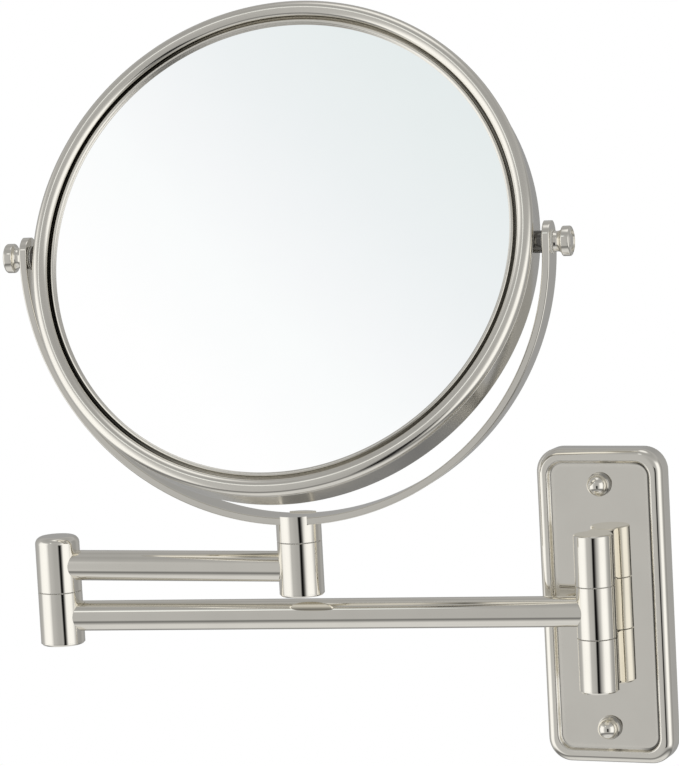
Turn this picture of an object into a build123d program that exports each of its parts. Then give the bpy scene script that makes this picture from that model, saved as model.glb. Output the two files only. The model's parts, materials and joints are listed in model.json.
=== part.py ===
from build123d import *
import math
import os

# Extendable shaving mirror: a wall plate with a hinge, two folding arms, a yoke and a two-sided round mirror.
# Frame: origin at the centre of the plate's back, on the wall; +X right, +Y into the wall, +Z up. Millimetres.

# Rest pose, in degrees
lower_arm_swing = 8.3  # the lower arm's lead away from the wall
upper_arm_swing = 2.9  # the upper arm's lead towards the wall
yoke_swing = 7.0  # the yoke's right end leads towards the wall
mirror_tilt = 23.3  # the mirror's top leans back

# Wall plate
plate_width = 55.0
plate_height = 133.0
plate_corner = 10.0
plate_depth = 8.4  # wall to flat face
rim_rise = 2.0  # border above the flat face
rim_width = 5.5
rim_outer_round = 3.4
rim_inner_round = 1.6
plate_skin = 2.4
backing_clearance = 0.1

# Wall fixings: a stud from the wall goes into each domed nut
stud_spacing = 103.0
stud_hole_radius = 2.2
cap_nut_radius = 5.0
cap_nut_skirt = 2.6
cap_nut_crown = 2.2  # metal in front of the blind hole

# Wall hinge
hinge_standoff = 20.0  # wall to hinge axis
knuckle_radius = 8.3
knuckle_height = 21.4
knuckle_top_round = 0.8
neck_width = 10.0
hinge_screw_radius = 2.0
hinge_screw_head_radius = 3.6
hinge_screw_head_height = 2.4
hinge_screw_reach = 6.0  # into the neck

# Arms
lower_arm_length = 233.0  # hinge axis to elbow axis
upper_arm_length = 110.8  # elbow axis to post axis
tube_radius = 6.5
tube_wall = 1.5
spigot_length = 12.0
barrel_radius = 9.5
barrel_height = 21.6
head_extra_height = 2.0  # the elbow head is taller than the other barrels
head_round = 3.2
cap_thickness = 1.2
cap_chamfer = 0.7
cap_spigot_length = 1.6
seam_gap = 0.5  # between two turning barrels

# Pins, bushes and nuts of the vertical pivots
pin_radius = 3.0
pin_crown = 0.6  # metal above a blind pin bore
hinge_pin_crown = 4.4
bush_wall = 1.3
bush_flange_margin = 0.9  # barrel radius less flange radius
hinge_bush_length = 9.0
nut_wall = 2.2  # pin to the nut's corners
nut_height = 3.2
spring_washer_height = 0.9
spring_washer_wall = 2.4
counterbore_wall = 2.9  # counterbore to the barrel's outside
nut_room = 0.5  # free length of pin under the nut
cap_room = 0.8  # pin's end to the cap

# Yoke
yoke_clearance = 3.3  # drum's outside to the strip's inside
yoke_drop = 0.6  # the strip's arc is centred this far below the tilt axis
stem_foot = 7.2  # stem's metal under the strip
strip_thickness = 3.2
strip_width = 15.0
strip_edge_round = 0.6
strip_tip_height = 8.6  # above the tilt axis
stem_proud = 0.6  # the stem's top above the strip

# Mirror drum; depths are counted forwards from the tilt axis
drum_radius = 107.6
bead_radius = 3.0
bead_depth = 7.9
lip_radius = 1.9
lip_depth = 8.6
lip_seat_share = 0.5  # the glass meets the lip this share of the lip's radius off its centre line
ring_face = 11.0  # drum's outside to the visible glass
ring_web = 1.4
ring_skirt_depth = 4.4  # how far back the skirt of the front ring reaches
band_inset = 0.5  # band below the bead
band_wall = 1.4
band_rear_depth = -9.4
band_rear_round = 1.1
rear_bead_radius = 2.0
rear_bead_depth = -7.9
rear_lip_depth = -8.6
glass_overlap = 2.5  # glass behind the lip
front_glass_thickness = 3.0
rear_glass_thickness = 2.5
rear_glass_curvature = 760.0
spacer_width = 3.5
foam_clearance = 0.3
foam_margin = 2.0

# Tilt pivots and knobs
boss_radius = 4.6
boss_shank_radius = 3.2
boss_head_radius = 4.0
boss_head_height = 1.4
pivot_screw_radius = 2.0
yoke_bush_wall = 1.0
washer_thickness = 0.5
washer_radius = 5.0
knob_neck_radius = 4.4
knob_radius = 6.2
knob_neck_length = 1.4
knob_flare_length = 2.4
knob_disc_length = 3.6
knob_edge_round = 1.4
knob_screw_grip = 4.7  # length of screw inside the knob

# Clearances
fixed_gap = 0.02  # between pieces that are brazed, pressed or screwed together
running_gap = 0.05  # radial, between pieces that turn on each other
face_gap = 0.03  # between flat faces that turn on each other

# Cutting
overshoot = 1.0  # a cutter's reach past the face it opens
same_height = 0.01  # heights closer than this are one height

# Sizes that follow
barrel_pitch = barrel_height + seam_gap  # from one arm's centre line to the next
knuckle_pitch = knuckle_height + seam_gap
yoke_inner_radius = drum_radius + yoke_clearance
yoke_outer_radius = yoke_inner_radius + strip_thickness
arc_rise = barrel_height / 2 + seam_gap + stem_foot + yoke_outer_radius
tilt_axis_rise = arc_rise + yoke_drop
band_radius = drum_radius - band_inset
sight_radius = drum_radius - ring_face
glass_radius = sight_radius + glass_overlap
bush_radius = pin_radius + running_gap + bush_wall
bush_flange_thickness = seam_gap - 2 * face_gap
socket_bottom = -barrel_height / 2
counterbore_radius = barrel_radius - counterbore_wall
counterbore_depth = spring_washer_height + nut_height + nut_room + cap_room + cap_spigot_length
bush_length = barrel_height - counterbore_depth
lip_to_glass = lip_radius * math.sqrt(1 - lip_seat_share**2)
glass_front_depth = lip_depth - lip_to_glass

UP = (Align.CENTER, Align.CENTER, Align.MIN)
DOWN = (Align.CENTER, Align.CENTER, Align.MAX)

hinge_frame = Pos(0, -hinge_standoff, 0)
lower_arm_frame = hinge_frame * Rot(0, 0, 180 + lower_arm_swing)
elbow_frame = lower_arm_frame * Pos(lower_arm_length, 0, 0)
upper_arm_frame = Pos(*elbow_frame.position) * Rot(0, 0, upper_arm_swing)
post_frame = upper_arm_frame * Pos(upper_arm_length, 0, barrel_pitch)
yoke_frame = Pos(*post_frame.position) * Rot(0, 0, yoke_swing)
tilt_frame = yoke_frame * Pos(0, 0, tilt_axis_rise)
mirror_frame = tilt_frame * Rot(90 - mirror_tilt, 0, 0)


def rod(radius, low, high):
    """A cylinder on the Z axis between two heights."""
    return Pos(0, 0, low) * Cylinder(radius, high - low, align=UP)


def tube(outer, inner, low, high):
    """A hollow cylinder on the Z axis between two heights."""
    return rod(outer, low, high) - rod(inner, low, high)


def on_x(shape, start=0.0):
    """Turn a piece built along +Z so that it runs along +X from start."""
    return Pos(start, 0, 0) * Rot(0, 90, 0) * shape


def both_sides(piece):
    """A piece on the right and its copy turned half way round the post, on the left."""
    return [piece, Rot(0, 0, 180) * piece]


def disc_at(radius, depth):
    """A circle in the plane through the drum's axis: radius across, depth forwards."""
    return Plane.XZ * Pos(radius, depth)


def rectangle_between(inner, outer, low, high):
    """A rectangle in the plane through the drum's axis."""
    centre = ((inner + outer) / 2, (low + high) / 2)
    return disc_at(*centre) * Rectangle(outer - inner, high - low)


def turned(profile):
    return revolve(profile, Axis.Z)


# Wall mount


def plate_outline(inset, corner, low, high):
    """A rounded slab parallel to the wall, between two distances in front of it."""
    outline = RectangleRounded(plate_width - 2 * inset, plate_height - 2 * inset, corner)
    slab = extrude(Plane.XZ * Pos(0, 0, low) * outline, high - low)
    return slab


def stud_points():
    return [Pos(0, 0, side * stud_spacing / 2) for side in (1, -1)]


def forward(shape):
    """Turn a piece built along +Z so that it points away from the wall."""
    return Rot(90, 0, 0) * shape


def neck_heights():
    return [side * knuckle_pitch for side in (1, -1)]


def make_wall_plate():
    crest = plate_depth + rim_rise
    body = plate_outline(0, plate_corner, 0, crest)
    front_edges = body.faces().sort_by(Axis.Y)[0].edges()
    body = fillet(front_edges, rim_outer_round)
    well = plate_outline(rim_width, plate_corner - rim_width + rim_inner_round, plate_depth, crest + overshoot)
    body -= well
    well_edges = body.edges().filter_by(lambda edge: rim_mouth_edge(edge, crest))
    body = fillet(well_edges, rim_inner_round)
    body -= plate_outline(plate_skin, plate_corner - plate_skin, -overshoot, plate_depth - plate_skin)
    for place in stud_points():
        body -= place * forward(rod(stud_hole_radius, -overshoot, crest))
    for height in neck_heights():
        body -= Pos(0, 0, height) * forward(rod(hinge_screw_radius + fixed_gap, -overshoot, crest))
    return body


def rim_mouth_edge(edge, crest):
    """The edges where the border's crest drops to the flat face."""
    box = edge.bounding_box()
    at_crest = abs(box.min.Y + crest) < same_height and abs(box.max.Y + crest) < same_height
    middle_of_crest = plate_width / 2 - (rim_outer_round + rim_width) / 2
    return at_crest and max(abs(box.min.X), abs(box.max.X)) < middle_of_crest


def make_wall_backing():
    inset = plate_skin + backing_clearance
    pad = plate_outline(inset, plate_corner - inset, 0, plate_depth - plate_skin - backing_clearance)
    for place in stud_points():
        pad -= place * forward(rod(stud_hole_radius, -overshoot, plate_depth))
    room = hinge_screw_head_radius + backing_clearance
    for height in neck_heights():
        pad -= Pos(0, 0, height) * forward(rod(room, -overshoot, plate_depth))
    return pad


def make_cap_nuts():
    nuts = []
    for place in stud_points():
        skirt = rod(cap_nut_radius, plate_depth, plate_depth + cap_nut_skirt)
        dome = Pos(0, 0, plate_depth + cap_nut_skirt) * Sphere(cap_nut_radius)
        dome &= rod(cap_nut_radius, plate_depth, plate_depth + cap_nut_skirt + cap_nut_radius)
        bore = rod(stud_hole_radius, plate_depth, plate_depth + cap_nut_skirt + cap_nut_radius - cap_nut_crown)
        nuts.append(place * forward(skirt + dome - bore))
    return nuts


def make_knuckle(side):
    """A fixed hinge barrel: side 1 is the upper one, -1 the lower one."""
    low = side * knuckle_pitch - knuckle_height / 2
    high = low + knuckle_height
    barrel = rod(knuckle_radius, low, high)
    reach = hinge_standoff - plate_depth
    neck = Pos(0, reach / 2, (low + high) / 2) * Box(neck_width, reach, knuckle_height)
    body = barrel + neck
    if side > 0:
        rim = body.faces().sort_by(Axis.Z)[-1].edges()
        body = fillet(rim, knuckle_top_round)
        body -= rod(pin_radius + fixed_gap, low - overshoot, high - hinge_pin_crown + fixed_gap)
    else:
        body -= rod(pin_radius + fixed_gap, low - overshoot, high + overshoot)
    tapped = rod(hinge_screw_radius + fixed_gap, plate_depth, plate_depth + hinge_screw_reach + fixed_gap)
    tapped = Pos(0, hinge_standoff, side * knuckle_pitch) * forward(tapped)
    return hinge_frame * (body - tapped)


def make_hinge_screws():
    screws = []
    seat = plate_depth - plate_skin
    for height in neck_heights():
        shank = rod(hinge_screw_radius, seat, plate_depth + hinge_screw_reach)
        head = rod(hinge_screw_head_radius, seat - hinge_screw_head_height, seat)
        screws.append(Pos(0, 0, height) * forward(shank + head))
    return screws


def make_hinge_pin():
    top = knuckle_pitch + knuckle_height / 2 - hinge_pin_crown
    bottom = -knuckle_pitch - knuckle_height / 2
    return hinge_frame * rod(pin_radius, bottom + cap_spigot_length + fixed_gap, top)


def make_end_cap(radius, spigot_radius, bottom):
    """A disc under a barrel whose lower end is at bottom, with a short spigot into it."""
    disc = rod(radius, bottom - cap_thickness, bottom - fixed_gap)
    disc = chamfer(disc.faces().sort_by(Axis.Z)[0].edges(), cap_chamfer)
    return disc + rod(spigot_radius, bottom - cap_thickness / 2, bottom + cap_spigot_length)


def make_hinge_cap():
    bottom = -knuckle_pitch - knuckle_height / 2
    return hinge_frame * make_end_cap(knuckle_radius, pin_radius, bottom)


# Barrels, bushes and nuts


def spigot_and_barrel(radius, low, high, direction, level):
    """A barrel with a spigot for the arm's tube along direction, which is 1 or -1 on X."""
    barrel = rod(radius, low, high)
    spigot_radius = tube_radius - tube_wall - fixed_gap
    spigot = on_x(rod(spigot_radius, 0, radius + spigot_length))
    if direction < 0:
        spigot = Rot(0, 0, 180) * spigot
    return barrel + Pos(0, 0, level) * spigot


def make_socket(direction):
    """A barrel bored for a bush, with a counterbore below for the nut."""
    top = barrel_height / 2
    body = spigot_and_barrel(barrel_radius, socket_bottom, top, direction, 0)
    body -= rod(bush_radius + fixed_gap, socket_bottom, top + overshoot)
    body -= rod(counterbore_radius, socket_bottom - overshoot, socket_bottom + counterbore_depth)
    return body


def make_flanged_bush(flange_radius, length, flange_bottom):
    """A sleeve that hangs below its flange."""
    flange_top = flange_bottom + bush_flange_thickness
    sleeve = rod(bush_radius, flange_bottom - length, flange_bottom)
    flange = rod(flange_radius, flange_bottom, flange_top)
    bore = rod(pin_radius + running_gap, flange_bottom - length - overshoot, flange_top + overshoot)
    return sleeve + flange - bore


def make_socket_bush():
    return make_flanged_bush(barrel_radius - bush_flange_margin, bush_length, barrel_height / 2)


def washer_top():
    """Underside of the socket's bore, less the clearance that the washer turns with."""
    return socket_bottom + counterbore_depth - face_gap


def make_spring_washer():
    high = washer_top()
    return tube(pin_radius + spring_washer_wall, pin_radius + fixed_gap, high - spring_washer_height, high)


def make_nut():
    high = washer_top() - spring_washer_height
    low = high - nut_height
    hexagon = extrude(RegularPolygon(pin_radius + nut_wall, 6), nut_height)
    thread = rod(pin_radius + fixed_gap, low - overshoot, high + overshoot)
    return Pos(0, 0, low) * hexagon - thread


def make_socket_pin():
    low = washer_top() - spring_washer_height - nut_height - nut_room
    high = barrel_height / 2 + seam_gap + pin_grip()
    return rod(pin_radius, low, high)


def pin_grip():
    """Length of a pin held in the blind bore above its bush."""
    return stem_foot - pin_crown


def make_socket_cap():
    return make_end_cap(barrel_radius, counterbore_radius - fixed_gap, socket_bottom)


# Lower arm


def make_arm_knuckle():
    half = knuckle_height / 2
    body = spigot_and_barrel(knuckle_radius, -half, half, 1, 0)
    bore = rod(bush_radius + fixed_gap, -half - overshoot, half + overshoot)
    return lower_arm_frame * (body - bore)


def make_hinge_bushes():
    flange_radius = knuckle_radius - bush_flange_margin
    bush = make_flanged_bush(flange_radius, hinge_bush_length, knuckle_height / 2)
    return [lower_arm_frame * bush, lower_arm_frame * Rot(180, 0, 0) * bush]


def make_arm_tube(length, start_radius, end_radius):
    """A tube along +X between two upright barrels, shaped to fit round both."""
    blank = on_x(tube(tube_radius, tube_radius - tube_wall, 0, length))
    reach = 2 * tube_radius
    blank -= rod(start_radius + fixed_gap, -reach, reach)
    blank -= Pos(length, 0, 0) * rod(end_radius + fixed_gap, -reach, reach)
    return blank


def make_lower_arm_tube():
    return lower_arm_frame * make_arm_tube(lower_arm_length, knuckle_radius, barrel_radius)


def lower_arm_end(shape):
    return elbow_frame * shape


# Upper arm


def make_elbow_head():
    low = -barrel_height / 2
    high = barrel_height / 2 + head_extra_height
    barrel = rod(barrel_radius, low, high)
    barrel = fillet(barrel.faces().sort_by(Axis.Z)[-1].edges(), head_round)
    spigot = on_x(rod(tube_radius - tube_wall - fixed_gap, 0, barrel_radius + spigot_length))
    bore = rod(pin_radius + fixed_gap, low - overshoot, low + pin_grip() + fixed_gap)
    body = barrel + spigot - bore
    return upper_arm_frame * Pos(0, 0, barrel_pitch) * body


def make_upper_arm_tube():
    arm = make_arm_tube(upper_arm_length, barrel_radius, barrel_radius)
    return upper_arm_frame * Pos(0, 0, barrel_pitch) * arm


def elbow_core(shape):
    return upper_arm_frame * shape


# Yoke


def make_yoke_strip():
    middle_radius = yoke_outer_radius - strip_thickness / 2
    section = Pos(middle_radius, 0) * RectangleRounded(strip_thickness, strip_width, strip_edge_round)
    bow = revolve(section, Axis.Y, 180)
    for end in both_sides(extrude(section, strip_tip_height + yoke_drop)):
        bow += end
    bow = Pos(0, 0, -yoke_drop) * bow
    straight = strip_tip_height - strip_width / 2
    reach = 2 * yoke_outer_radius
    below = Pos(0, 0, straight) * Box(2 * reach, strip_width, reach, align=DOWN)
    rounded_ends = Pos(0, 0, straight) * on_x(rod(strip_width / 2, 0, 2 * reach), -reach)
    strip = bow & (below + rounded_ends)
    hole = bush_hole_radius() + fixed_gap
    strip -= on_x(rod(hole, 0, 2 * reach), -reach)
    return tilt_frame * strip


def bush_hole_radius():
    return pivot_screw_radius + running_gap + yoke_bush_wall


def make_yoke_stem():
    low = barrel_height / 2 + seam_gap
    high = low + stem_foot + strip_thickness + stem_proud
    body = rod(barrel_radius, low, high)
    round_slot = Rot(90, 0, 0) * Cylinder(yoke_outer_radius + fixed_gap, strip_width + 2 * fixed_gap)
    body -= Pos(0, 0, arc_rise) * round_slot
    body -= rod(pin_radius + fixed_gap, low - overshoot, low + pin_grip() + fixed_gap)
    return yoke_frame * body


def make_yoke_bushes():
    bush = tube(bush_hole_radius(), pivot_screw_radius + running_gap, 0, strip_thickness)
    return [tilt_frame * piece for piece in both_sides(on_x(bush, yoke_inner_radius))]


def make_knob_washers():
    washer = tube(washer_radius, pivot_screw_radius + running_gap, 0, washer_thickness)
    return [tilt_frame * piece for piece in both_sides(on_x(washer, yoke_outer_radius))]


# Mirror drum


def make_front_ring():
    bead_centre = drum_radius - bead_radius
    lip_centre = sight_radius + lip_radius
    profile = disc_at(bead_centre, bead_depth) * Circle(bead_radius)
    profile += disc_at(lip_centre, lip_depth) * Circle(lip_radius)
    web_back = glass_front_depth + fixed_gap
    profile += rectangle_between(lip_centre, bead_centre, web_back, web_back + ring_web)
    skirt_outer = band_radius - band_wall - fixed_gap
    profile += rectangle_between(skirt_outer - ring_web, skirt_outer, ring_skirt_depth, bead_depth)
    profile -= rectangle_between(0, glass_radius + fixed_gap, ring_skirt_depth, web_back)
    return mirror_frame * turned(profile)


def make_mirror_band():
    front = bead_depth - bead_radius - fixed_gap
    profile = rectangle_between(band_radius - band_wall, band_radius, band_rear_depth, front)
    band = turned(profile)
    rear_edges = band.faces().sort_by(Axis.Z)[0].edges().sort_by(SortBy.RADIUS)[-1:]
    band = fillet(rear_edges, band_rear_round)
    for hole in both_sides(on_x(rod(boss_shank_radius + fixed_gap, 0, 2 * drum_radius))):
        band -= hole
    return mirror_frame * band


def make_rear_ring():
    outer = band_radius - band_wall - fixed_gap
    bead_centre = outer - rear_bead_radius
    lip_centre = sight_radius + lip_radius
    profile = disc_at(bead_centre, rear_bead_depth) * Circle(rear_bead_radius)
    profile += disc_at(lip_centre, rear_lip_depth) * Circle(lip_radius)
    web_front = rear_glass_rim_depth() - fixed_gap
    profile += rectangle_between(lip_centre, bead_centre, web_front - ring_web, web_front)
    profile -= rectangle_between(0, glass_radius + fixed_gap, web_front, 0)
    return mirror_frame * turned(profile)


def rear_glass_rim_depth():
    """Depth of the rear glass's outer face at its rim."""
    return rear_lip_depth + lip_to_glass


def make_front_glass():
    return mirror_frame * rod(glass_radius, glass_front_depth - front_glass_thickness, glass_front_depth)


def curved_face_depth(radius_out, rim_depth):
    """Centre of the sphere that passes through the rim and bulges into the drum."""
    return rim_depth - math.sqrt(rear_glass_curvature**2 - radius_out**2)


def make_rear_glass():
    rim = rear_glass_rim_depth()
    outer_centre = curved_face_depth(glass_radius, rim)
    blank = rod(glass_radius, rim, rim + 2 * rear_glass_thickness + glass_sag())
    inner = Pos(0, 0, outer_centre) * Sphere(rear_glass_curvature + rear_glass_thickness)
    outer = Pos(0, 0, outer_centre) * Sphere(rear_glass_curvature)
    return mirror_frame * ((blank & inner) - outer)


def glass_sag():
    return rear_glass_curvature - math.sqrt(rear_glass_curvature**2 - glass_radius**2)


def make_spacer_ring():
    front = glass_front_depth - front_glass_thickness - fixed_gap
    rear = rear_glass_rim_depth() + rear_glass_thickness + fixed_gap
    inner = glass_radius - spacer_width
    ring = tube(glass_radius, inner, rear, front)
    centre = curved_face_depth(glass_radius, rear_glass_rim_depth())
    ring -= Pos(0, 0, centre) * Sphere(rear_glass_curvature + rear_glass_thickness + fixed_gap)
    return mirror_frame * ring


def make_foam_pad():
    front = glass_front_depth - front_glass_thickness - fixed_gap
    rear = curved_face_depth(glass_radius, rear_glass_rim_depth()) + rear_glass_curvature
    radius = glass_radius - spacer_width - foam_margin
    return mirror_frame * rod(radius, rear + rear_glass_thickness + foam_clearance, front)


def boss_outer():
    """Outer end of the boss: its washer's rim just clears the curved inside of the strip."""
    strip_inside = math.sqrt(yoke_inner_radius**2 - washer_radius**2)
    return strip_inside - washer_thickness - 2 * face_gap


def make_pivot_bosses():
    collar = on_x(rod(boss_radius, 0, boss_outer() - boss_inner()), boss_inner())
    collar -= rod(band_radius + fixed_gap, -drum_radius, drum_radius)
    shank = on_x(rod(boss_shank_radius, 0, boss_outer() - boss_inner()), boss_inner())
    head = on_x(rod(boss_head_radius, 0, boss_head_height), boss_inner())
    bore = on_x(rod(pivot_screw_radius + fixed_gap, -overshoot, boss_outer()), boss_inner())
    boss = collar + shank + head - bore
    return [mirror_frame * piece for piece in both_sides(boss)]


def boss_inner():
    """Inner end of the boss: its head lies against the band's inner wall."""
    wall = band_radius - band_wall
    return math.sqrt(wall**2 - boss_head_radius**2) - fixed_gap - boss_head_height


def make_boss_washers():
    start = boss_outer()
    washer = on_x(tube(washer_radius, pivot_screw_radius + fixed_gap, 0, washer_thickness), start)
    return [mirror_frame * piece for piece in both_sides(washer)]


# Knobs


def knob_start():
    return yoke_outer_radius + washer_thickness + face_gap


def make_knob():
    """A knob that points along +X."""
    neck_end = knob_neck_length
    flare_end = neck_end + knob_flare_length
    neck = rod(knob_neck_radius, 0, neck_end)
    flare = Pos(0, 0, neck_end) * Cone(knob_neck_radius, knob_radius, knob_flare_length, align=UP)
    disc = rod(knob_radius, flare_end, flare_end + knob_disc_length)
    body = neck + flare + disc
    body = fillet(body.faces().sort_by(Axis.Z)[-1].edges(), knob_edge_round)
    body -= rod(pivot_screw_radius + fixed_gap, -overshoot, knob_screw_grip + fixed_gap)
    return mirror_frame * on_x(body, knob_start())


def make_knob_screw():
    start = boss_inner()
    return mirror_frame * on_x(rod(pivot_screw_radius, 0, knob_start() + knob_screw_grip - start), start)


def to_left(piece):
    """The same piece at the other end of the tilt axis."""
    centre = Pos(*mirror_frame.position) * Rot(0, 0, 180) * Pos(*[-value for value in mirror_frame.position])
    return centre * piece


def group(pieces):
    return Compound(children=list(pieces))


nodes = {
    "wall_plate": make_wall_plate(),
    "wall_backing": make_wall_backing(),
    "cap_nuts": group(make_cap_nuts()),
    "upper_hinge_knuckle": make_knuckle(1),
    "lower_hinge_knuckle": make_knuckle(-1),
    "hinge_screws": group(make_hinge_screws()),
    "hinge_pin": make_hinge_pin(),
    "hinge_cap": make_hinge_cap(),
    "arm_knuckle": make_arm_knuckle(),
    "hinge_bushes": group(make_hinge_bushes()),
    "lower_arm_tube": make_lower_arm_tube(),
    "elbow_socket": lower_arm_end(make_socket(-1)),
    "elbow_bush": lower_arm_end(make_socket_bush()),
    "elbow_cap": lower_arm_end(make_socket_cap()),
    "elbow_head": make_elbow_head(),
    "elbow_pin": elbow_core(make_socket_pin()),
    "elbow_spring_washer": elbow_core(make_spring_washer()),
    "elbow_nut": elbow_core(make_nut()),
    "upper_arm_tube": make_upper_arm_tube(),
    "post_socket": post_frame * make_socket(-1),
    "post_bush": post_frame * make_socket_bush(),
    "post_cap": post_frame * make_socket_cap(),
    "yoke_stem": make_yoke_stem(),
    "yoke_strip": make_yoke_strip(),
    "post_pin": yoke_frame * make_socket_pin(),
    "post_spring_washer": yoke_frame * make_spring_washer(),
    "post_nut": yoke_frame * make_nut(),
    "yoke_bushes": group(make_yoke_bushes()),
    "knob_washers": group(make_knob_washers()),
    "mirror_band": make_mirror_band(),
    "front_ring": make_front_ring(),
    "rear_ring": make_rear_ring(),
    "front_glass": make_front_glass(),
    "rear_glass": make_rear_glass(),
    "spacer_ring": make_spacer_ring(),
    "foam_pad": make_foam_pad(),
    "pivot_bosses": group(make_pivot_bosses()),
    "boss_washers": group(make_boss_washers()),
    "right_knob": make_knob(),
    "right_knob_screw": make_knob_screw(),
    "left_knob": to_left(make_knob()),
    "left_knob_screw": to_left(make_knob_screw()),
}

os.makedirs("parts", exist_ok=True)
for name, shape in nodes.items():
    export_step(shape, f"parts/{name}.step")
    print(name, round(shape.volume, 1))
for name, frame in (("hinge", hinge_frame), ("elbow", elbow_frame), ("post", post_frame), ("tilt", tilt_frame)):
    print(name, [round(value, 4) for value in frame.position])
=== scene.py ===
# %% [markdown]
# # An extendable shaving mirror, finished in polished nickel
# The CAD model gives every piece its place and size. This file gives it its looks: smooth
# turned and swept metal, two mirrors, a studio that suits polished metal, and a camera.

# %% The fixed frame
import json
import math

import bmesh
import bpy
from mathutils import Matrix, Vector

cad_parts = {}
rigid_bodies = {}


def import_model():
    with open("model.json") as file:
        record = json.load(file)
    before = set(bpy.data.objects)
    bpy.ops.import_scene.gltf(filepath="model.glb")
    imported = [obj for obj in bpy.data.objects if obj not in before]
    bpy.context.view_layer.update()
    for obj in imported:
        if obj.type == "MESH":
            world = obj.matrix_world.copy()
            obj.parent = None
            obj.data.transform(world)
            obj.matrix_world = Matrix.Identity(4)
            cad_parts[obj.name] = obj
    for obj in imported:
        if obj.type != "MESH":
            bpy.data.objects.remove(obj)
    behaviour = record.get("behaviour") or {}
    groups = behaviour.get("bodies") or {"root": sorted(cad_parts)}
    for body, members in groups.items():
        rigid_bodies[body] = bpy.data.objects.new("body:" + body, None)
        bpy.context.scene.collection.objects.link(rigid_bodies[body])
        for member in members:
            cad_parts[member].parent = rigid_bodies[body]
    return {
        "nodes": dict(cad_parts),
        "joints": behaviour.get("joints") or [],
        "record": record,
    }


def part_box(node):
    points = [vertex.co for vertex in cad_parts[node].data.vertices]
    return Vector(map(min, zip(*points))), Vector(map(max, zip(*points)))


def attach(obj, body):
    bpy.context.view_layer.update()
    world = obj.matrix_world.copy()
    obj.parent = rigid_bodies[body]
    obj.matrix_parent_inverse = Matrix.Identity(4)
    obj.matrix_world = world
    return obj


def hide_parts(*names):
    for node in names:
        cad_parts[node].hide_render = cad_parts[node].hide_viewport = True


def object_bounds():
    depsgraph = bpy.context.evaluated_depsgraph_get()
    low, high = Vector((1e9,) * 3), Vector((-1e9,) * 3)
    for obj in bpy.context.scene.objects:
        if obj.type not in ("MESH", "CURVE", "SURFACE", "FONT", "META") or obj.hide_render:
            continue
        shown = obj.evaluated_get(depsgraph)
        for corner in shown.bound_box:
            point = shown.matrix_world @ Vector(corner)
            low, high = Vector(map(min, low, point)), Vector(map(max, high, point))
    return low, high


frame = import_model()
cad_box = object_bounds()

MM = 0.001
record = frame["record"]

# %% [markdown]
# ## Where things are
# Every position is read from the frame: the joints give the axes, and a node's own vertices give
# its radii and heights about an axis. Typing the places again would be shorter, but they would go
# wrong as soon as the CAD changed.

# %% Axes of the joints
joints = {joint["name"]: joint for joint in frame["joints"]}
body_of_node = {node: body for body, nodes in record["behaviour"]["bodies"].items() for node in nodes}
slot_of_node = {part["node"]: part["material_slot"] for part in record["subparts"]}

UP = Vector((0, 0, 1))
hinge_at = Vector(joints["wall_hinge"]["pos_m"])
elbow_at = Vector(joints["elbow"]["pos_m"])
post_at = Vector(joints["yoke_swivel"]["pos_m"])
tilt_at = Vector(joints["mirror_tilt"]["pos_m"])
tilt_axis = Vector(joints["mirror_tilt"]["axis"]).normalized()
print("hinge", hinge_at, "elbow", elbow_at, "post", post_at, "tilt", tilt_at)

# %% A placing matrix for each axis


def placing(origin, z_axis, x_hint):
    """A matrix at origin with its Z along z_axis and its X near x_hint."""
    z = z_axis.normalized()
    x = (x_hint - x_hint.dot(z) * z).normalized()
    y = z.cross(x)
    return Matrix.Translation(origin) @ Matrix((x, y, z)).transposed().to_4x4()


def flat_normal(node, guess):
    """The normal of the face of a node that points most nearly along guess."""
    faces = frame["nodes"][node].data.polygons
    return max((face.normal for face in faces), key=lambda normal: normal.dot(guess)).copy()


glass_low, glass_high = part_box("front_glass")
facing = flat_normal("front_glass", (glass_low + glass_high) / 2 - tilt_at)
drum = placing(tilt_at, facing, tilt_axis)
knob_right = placing(tilt_at, tilt_axis, UP)
knob_left = placing(tilt_at, -tilt_axis, UP)
print("the mirror leans back by", round(math.degrees(math.asin(facing.z)), 2), "degrees")

# %% A gauge for radii and heights about an axis


def gauge(node, place, side=0):
    """Least and greatest radius, then height, of a node about a placing matrix's Z; side keeps one half."""
    back = place.inverted()
    points = [back @ vertex.co for vertex in frame["nodes"][node].data.vertices]
    points = [point for point in points if point.z * side >= 0]
    radii = [math.hypot(point.x, point.y) for point in points]
    heights = [point.z for point in points]
    return min(radii), max(radii), min(heights), max(heights)


for node in ("front_ring", "mirror_band", "rear_ring", "front_glass"):
    print(node, [round(value / MM, 2) for value in gauge(node, drum)])

# %% [markdown]
# ## The camera
# A long lens looks down a little, from the right. The long side of the picture is the sensor's
# width, so the focal length in picture points turns into millimetres by 36 over 766.

# %% Camera
CAMERA_AT = Vector((474.43, -1429.85, 270.27)) * MM
CAMERA_TURN = math.radians(22.502)
CAMERA_DIP = math.radians(6.515)
CAMERA_ROLL = -0.053
FOCAL_POINTS = 3630.8
LONG_SIDE_POINTS = 766
SENSOR_MM = 36

forward = Vector((
    -math.sin(CAMERA_TURN) * math.cos(CAMERA_DIP),
    math.cos(CAMERA_TURN) * math.cos(CAMERA_DIP),
    -math.sin(CAMERA_DIP),
))
level_right = Vector((math.cos(CAMERA_TURN), math.sin(CAMERA_TURN), 0))
level_up = level_right.cross(forward)
camera_right = math.cos(CAMERA_ROLL) * level_right + math.sin(CAMERA_ROLL) * level_up
camera_up = camera_right.cross(forward)
camera_axes = Matrix((camera_right, camera_up, -forward)).transposed().to_4x4()

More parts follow.
